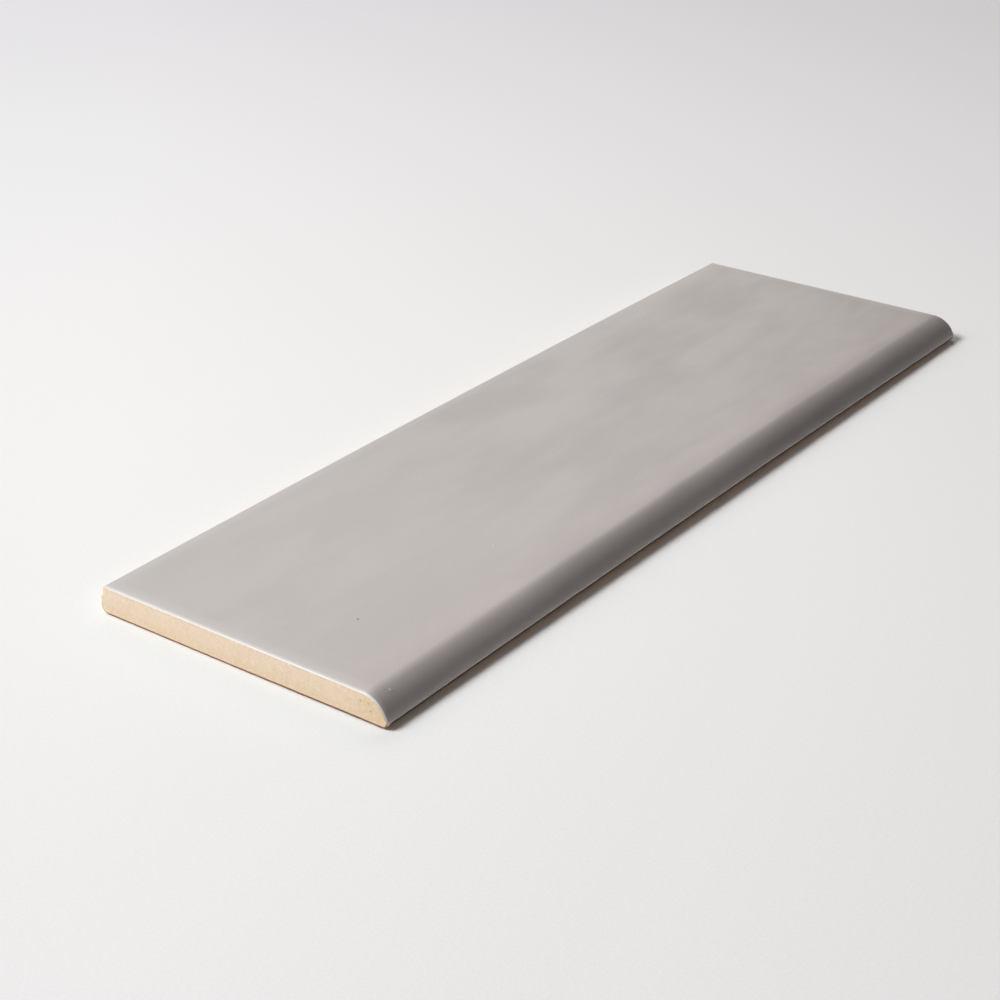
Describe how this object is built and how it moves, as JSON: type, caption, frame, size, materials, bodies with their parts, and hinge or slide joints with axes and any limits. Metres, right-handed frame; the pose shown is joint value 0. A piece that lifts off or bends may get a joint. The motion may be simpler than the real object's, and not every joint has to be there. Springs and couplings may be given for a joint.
{
  "type": "bullnose tile",
  "caption": "Long glazed ceramic wall tile with one long edge rounded over, straight ends and a keyed back, for finishing the open edge of tiling.",
  "frame": {"origin": "middle of the outline, on the bed plane that the ribs of the back lie in", "axes": "+X along the length, +Z out of the glazed face, the rounded long edge on the -Y side"},
  "size_m": [0.3, 0.097, 0.008],
  "materials": {
    "glazed_tile": "satin warm grey glaze on the face and rounded edge, white where it thins at the edges, over a matt buff body"
  },
  "bodies": {
    "root": {"bullnose_tile": "glazed_tile"}
  },
  "joints": []
}
